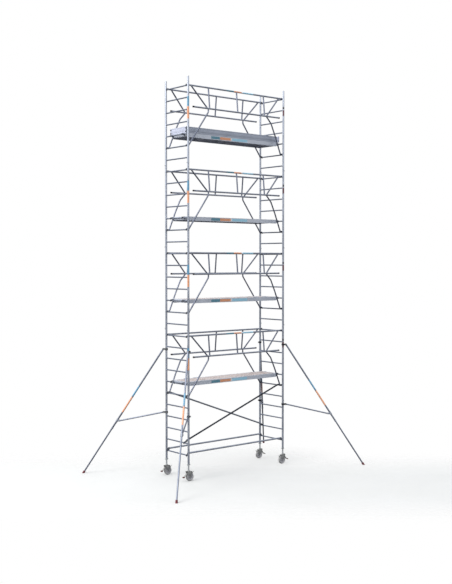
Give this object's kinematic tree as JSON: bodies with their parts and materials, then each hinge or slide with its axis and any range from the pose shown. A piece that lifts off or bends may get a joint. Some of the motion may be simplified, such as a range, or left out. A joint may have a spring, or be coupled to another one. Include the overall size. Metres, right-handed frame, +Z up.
{
  "type": "mobile tower scaffold",
  "caption": "Tall narrow aluminium scaffold tower on braked castors, with ladder end frames, guardrails, decks with trapdoors and splayed stabilizer legs.",
  "frame": {"origin": "on the floor, under the middle of the tower", "axes": "+Z up, X along the guardrails and decks, Y across the ladder frames"},
  "size_m": [6.0226, 3.8426, 9.49],
  "materials": {
    "aluminium_tube": "mill-finished tube, slightly dull",
    "platform_aluminium": "satin extrusion",
    "cast_aluminium": "dark cast claws",
    "board_aluminium": "grey board",
    "end_board_aluminium": "pale board",
    "deck_plywood": "brown film-faced plywood",
    "black_plastic": "moulded",
    "zinc_steel": "zinc plated",
    "grey_wheel": "grey moulded wheel",
    "pedal_red": "dark red-brown pad",
    "red_rubber": "dark red rubber"
  },
  "bodies": {
    "tower": {"end_frame_left_1": "aluminium_tube", "end_frame_left_2": "aluminium_tube", "end_frame_left_3": "aluminium_tube", "end_frame_left_4": "aluminium_tube", "end_frame_left_5": "aluminium_tube", "end_frame_right_1": "aluminium_tube", "end_frame_right_2": "aluminium_tube", "end_frame_right_3": "aluminium_tube", "end_frame_right_4": "aluminium_tube", "end_frame_right_5": "aluminium_tube", "guardrails_level_1": "aluminium_tube", "guardrails_level_2": "aluminium_tube", "guardrails_level_3": "aluminium_tube", "guardrails_level_4": "aluminium_tube", "platform_frame_1": "platform_aluminium", "platform_frame_2": "platform_aluminium", "platform_frame_3": "platform_aluminium", "platform_frame_4": "platform_aluminium", "deck_panels": "deck_plywood", "platform_hooks": "cast_aluminium", "rail_hooks": "cast_aluminium", "rail_end_caps": "black_plastic", "frame_lock_pins": "zinc_steel", "horizontal_braces": "aluminium_tube", "diagonal_braces": "aluminium_tube", "toe_boards_long": "board_aluminium", "toe_boards_end": "end_board_aluminium", "toe_board_clips": "black_plastic"},
    "trapdoor_1": {"trapdoor_1": "deck_plywood"},
    "trapdoor_2": {"trapdoor_2": "deck_plywood"},
    "trapdoor_3": {"trapdoor_3": "deck_plywood"},
    "trapdoor_4": {"trapdoor_4": "deck_plywood"},
    "castor_spindle_near_left": {"castor_spindle_near_left": "zinc_steel"},
    "adjusting_nut_near_left": {"adjusting_nut_near_left": "zinc_steel"},
    "castor_fork_near_left": {"castor_fork_near_left": "zinc_steel"},
    "castor_wheel_near_left": {"castor_wheel_near_left": "grey_wheel"},
    "brake_pedal_near_left": {"brake_pedal_near_left": "pedal_red"},
    "stabilizer_near_left": {"stabilizer_near_left": "aluminium_tube"},
    "stabilizer_foot_near_left": {"stabilizer_foot_near_left": "red_rubber"},
    "castor_spindle_near_right": {"castor_spindle_near_right": "zinc_steel"},
    "adjusting_nut_near_right": {"adjusting_nut_near_right": "zinc_steel"},
    "castor_fork_near_right": {"castor_fork_near_right": "zinc_steel"},
    "castor_wheel_near_right": {"castor_wheel_near_right": "grey_wheel"},
    "brake_pedal_near_right": {"brake_pedal_near_right": "pedal_red"},
    "stabilizer_near_right": {"stabilizer_near_right": "aluminium_tube"},
    "stabilizer_foot_near_right": {"stabilizer_foot_near_right": "red_rubber"},
    "castor_spindle_far_left": {"castor_spindle_far_left": "zinc_steel"},
    "adjusting_nut_far_left": {"adjusting_nut_far_left": "zinc_steel"},
    "castor_fork_far_left": {"castor_fork_far_left": "zinc_steel"},
    "castor_wheel_far_left": {"castor_wheel_far_left": "grey_wheel"},
    "brake_pedal_far_left": {"brake_pedal_far_left": "pedal_red"},
    "stabilizer_far_left": {"stabilizer_far_left": "aluminium_tube"},
    "stabilizer_foot_far_left": {"stabilizer_foot_far_left": "red_rubber"},
    "castor_spindle_far_right": {"castor_spindle_far_right": "zinc_steel"},
    "adjusting_nut_far_right": {"adjusting_nut_far_right": "zinc_steel"},
    "castor_fork_far_right": {"castor_fork_far_right": "zinc_steel"},
    "castor_wheel_far_right": {"castor_wheel_far_right": "grey_wheel"},
    "brake_pedal_far_right": {"brake_pedal_far_right": "pedal_red"},
    "stabilizer_far_right": {"stabilizer_far_right": "aluminium_tube"},
    "stabilizer_foot_far_right": {"stabilizer_foot_far_right": "red_rubber"}
  },
  "joints": [
    {"name": "trapdoor_1_hinge", "type": "hinge", "parent": "tower", "child": "trapdoor_1", "pos_m": [-0.9, 0.256, 2.323], "axis": [-1, 0, 0], "range_deg": [0, 95]},
    {"name": "trapdoor_2_hinge", "type": "hinge", "parent": "tower", "child": "trapdoor_2", "pos_m": [0.9, -0.256, 4.283], "axis": [1, 0, 0], "range_deg": [0, 95]},
    {"name": "trapdoor_3_hinge", "type": "hinge", "parent": "tower", "child": "trapdoor_3", "pos_m": [-0.9, 0.256, 6.243], "axis": [-1, 0, 0], "range_deg": [0, 95]},
    {"name": "trapdoor_4_hinge", "type": "hinge", "parent": "tower", "child": "trapdoor_4", "pos_m": [0.9, -0.256, 8.203], "axis": [1, 0, 0], "range_deg": [0, 95]},
    {"name": "castor_height_near_left", "type": "slide", "parent": "tower", "child": "castor_spindle_near_left", "axis": [0, 0, -1], "range_m": [-0.11, 0.14]},
    {"name": "nut_turn_near_left", "type": "hinge", "parent": "tower", "child": "adjusting_nut_near_left", "pos_m": [-1.525, -0.435, 0.385], "axis": [0, 0, 1], "continuous": true},
    {"name": "castor_swivel_near_left", "type": "hinge", "parent": "castor_spindle_near_left", "child": "castor_fork_near_left", "pos_m": [-1.525, -0.435, 0.24], "axis": [0, 0, 1], "continuous": true},
    {"name": "wheel_roll_near_left", "type": "hinge", "parent": "castor_fork_near_left", "child": "castor_wheel_near_left", "pos_m": [-1.491, -0.435, 0.1], "axis": [0, 1, 0], "continuous": true},
    {"name": "brake_near_left", "type": "hinge", "parent": "castor_fork_near_left", "child": "brake_pedal_near_left", "pos_m": [-1.575, -0.435, 0.19], "axis": [0, 1, 0], "range_deg": [0, 18]},
    {"name": "stabilizer_swing_near_left", "type": "hinge", "parent": "tower", "child": "stabilizer_near_left", "pos_m": [-1.525, -0.435, 1.525], "axis": [0, 0, 1], "range_deg": [-40, 40]},
    {"name": "stabilizer_extend_near_left", "type": "slide", "parent": "stabilizer_near_left", "child": "stabilizer_foot_near_left", "axis": [-0.3849, -0.3849, -0.8389], "range_m": [-1, 0.3]},
    {"name": "castor_height_near_right", "type": "slide", "parent": "tower", "child": "castor_spindle_near_right", "axis": [0, 0, -1], "range_m": [-0.11, 0.14]},
    {"name": "nut_turn_near_right", "type": "hinge", "parent": "tower", "child": "adjusting_nut_near_right", "pos_m": [1.525, -0.435, 0.385], "axis": [0, 0, 1], "continuous": true},
    {"name": "castor_swivel_near_right", "type": "hinge", "parent": "castor_spindle_near_right", "child": "castor_fork_near_right", "pos_m": [1.525, -0.435, 0.24], "axis": [0, 0, 1], "continuous": true},
    {"name": "wheel_roll_near_right", "type": "hinge", "parent": "castor_fork_near_right", "child": "castor_wheel_near_right", "pos_m": [1.491, -0.435, 0.1], "axis": [0, 1, 0], "continuous": true},
    {"name": "brake_near_right", "type": "hinge", "parent": "castor_fork_near_right", "child": "brake_pedal_near_right", "pos_m": [1.575, -0.435, 0.19], "axis": [0, -1, 0], "range_deg": [0, 18]},
    {"name": "stabilizer_swing_near_right", "type": "hinge", "parent": "tower", "child": "stabilizer_near_right", "pos_m": [1.525, -0.435, 1.525], "axis": [0, 0, 1], "range_deg": [-40, 40]},
    {"name": "stabilizer_extend_near_right", "type": "slide", "parent": "stabilizer_near_right", "child": "stabilizer_foot_near_right", "axis": [0.3849, -0.3849, -0.8389], "range_m": [-1, 0.3]},
    {"name": "castor_height_far_left", "type": "slide", "parent": "tower", "child": "castor_spindle_far_left", "axis": [0, 0, -1], "range_m": [-0.11, 0.14]},
    {"name": "nut_turn_far_left", "type": "hinge", "parent": "tower", "child": "adjusting_nut_far_left", "pos_m": [-1.525, 0.435, 0.385], "axis": [0, 0, 1], "continuous": true},
    {"name": "castor_swivel_far_left", "type": "hinge", "parent": "castor_spindle_far_left", "child": "castor_fork_far_left", "pos_m": [-1.525, 0.435, 0.24], "axis": [0, 0, 1], "continuous": true},
    {"name": "wheel_roll_far_left", "type": "hinge", "parent": "castor_fork_far_left", "child": "castor_wheel_far_left", "pos_m": [-1.491, 0.435, 0.1], "axis": [0, 1, 0], "continuous": true},
    {"name": "brake_far_left", "type": "hinge", "parent": "castor_fork_far_left", "child": "brake_pedal_far_left", "pos_m": [-1.575, 0.435, 0.19], "axis": [0, 1, 0], "range_deg": [0, 18]},
    {"name": "stabilizer_swing_far_left", "type": "hinge", "parent": "tower", "child": "stabilizer_far_left", "pos_m": [-1.525, 0.435, 1.525], "axis": [0, 0, 1], "range_deg": [-40, 40]},
    {"name": "stabilizer_extend_far_left", "type": "slide", "parent": "stabilizer_far_left", "child": "stabilizer_foot_far_left", "axis": [-0.3849, 0.3849, -0.8389], "range_m": [-1, 0.3]},
    {"name": "castor_height_far_right", "type": "slide", "parent": "tower", "child": "castor_spindle_far_right", "axis": [0, 0, -1], "range_m": [-0.11, 0.14]},
    {"name": "nut_turn_far_right", "type": "hinge", "parent": "tower", "child": "adjusting_nut_far_right", "pos_m": [1.525, 0.435, 0.385], "axis": [0, 0, 1], "continuous": true},
    {"name": "castor_swivel_far_right", "type": "hinge", "parent": "castor_spindle_far_right", "child": "castor_fork_far_right", "pos_m": [1.525, 0.435, 0.24], "axis": [0, 0, 1], "continuous": true},
    {"name": "wheel_roll_far_right", "type": "hinge", "parent": "castor_fork_far_right", "child": "castor_wheel_far_right", "pos_m": [1.491, 0.435, 0.1], "axis": [0, 1, 0], "continuous": true},
    {"name": "brake_far_right", "type": "hinge", "parent": "castor_fork_far_right", "child": "brake_pedal_far_right", "pos_m": [1.575, 0.435, 0.19], "axis": [0, -1, 0], "range_deg": [0, 18]},
    {"name": "stabilizer_swing_far_right", "type": "hinge", "parent": "tower", "child": "stabilizer_far_right", "pos_m": [1.525, 0.435, 1.525], "axis": [0, 0, 1], "range_deg": [-40, 40]},
    {"name": "stabilizer_extend_far_right", "type": "slide", "parent": "stabilizer_far_right", "child": "stabilizer_foot_far_right", "axis": [0.3849, 0.3849, -0.8389], "range_m": [-1, 0.3]}
  ],
  "couplings": [
    {"joint": "nut_turn_near_left", "follows": "castor_height_near_left", "rad_per_m": 523.6},
    {"joint": "nut_turn_near_right", "follows": "castor_height_near_right", "rad_per_m": 523.6},
    {"joint": "nut_turn_far_left", "follows": "castor_height_far_left", "rad_per_m": 523.6},
    {"joint": "nut_turn_far_right", "follows": "castor_height_far_right", "rad_per_m": 523.6}
  ]
}
